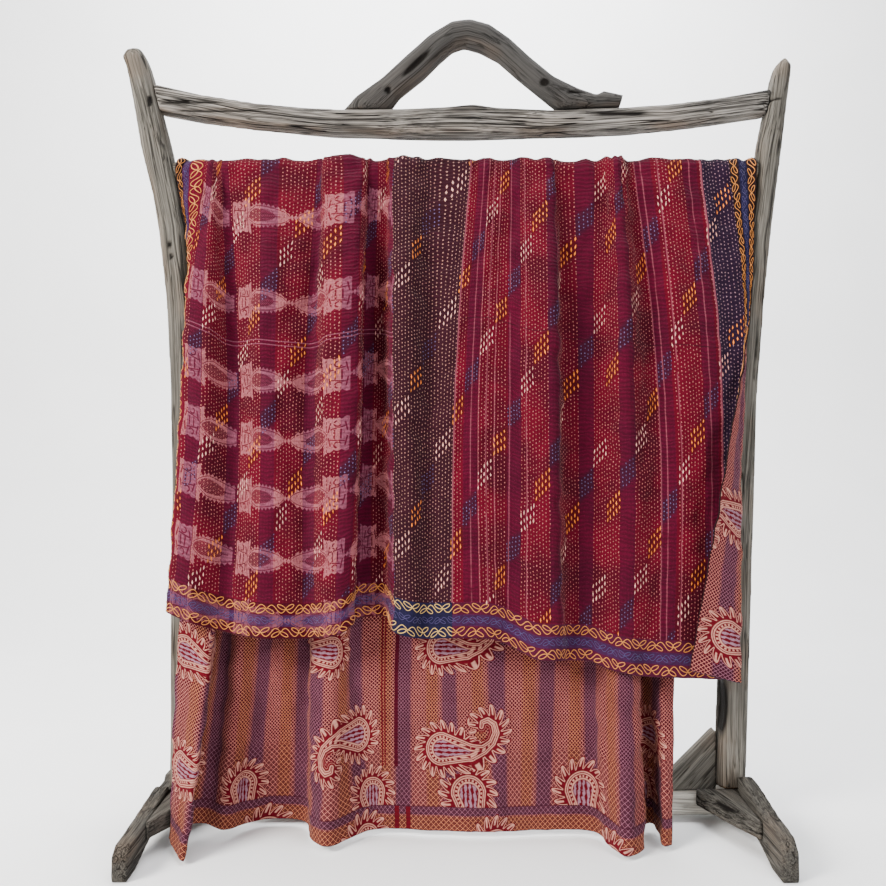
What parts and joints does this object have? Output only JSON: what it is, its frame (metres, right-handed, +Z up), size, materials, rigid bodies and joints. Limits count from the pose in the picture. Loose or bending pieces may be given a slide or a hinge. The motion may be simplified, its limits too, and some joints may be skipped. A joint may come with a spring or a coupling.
{
  "type": "kantha quilt on a wooden quilt rack",
  "caption": "Kantha quilt with braided borders folded over the bar of a weathered driftwood quilt rack, its patterned inner side showing below.",
  "frame": {"origin": "on the floor, at the middle of the rack's feet", "axes": "+Z up, +X to the right seen from the front, -Y towards the front"},
  "size_m": [1.228, 0.492, 1.4775],
  "materials": {
    "stitched_cotton": "matt, running stitches",
    "weathered_wood": "weathered, cracked grain",
    "grey_branch": "weathered, smooth",
    "whitewashed_wood": "worn whitewash"
  },
  "bodies": {
    "root": {"quilt": "stitched_cotton", "upright_left": "weathered_wood", "upright_right": "weathered_wood", "top_rail": "weathered_wood", "hanging_bar": "weathered_wood", "gusset_left": "weathered_wood", "gusset_right": "weathered_wood", "foot_left": "weathered_wood", "foot_right": "weathered_wood", "corner_front_left": "weathered_wood", "corner_front_right": "weathered_wood", "corner_back_left": "weathered_wood", "corner_back_right": "weathered_wood", "branch_handle": "grey_branch", "stretcher": "whitewashed_wood"}
  },
  "joints": []
}
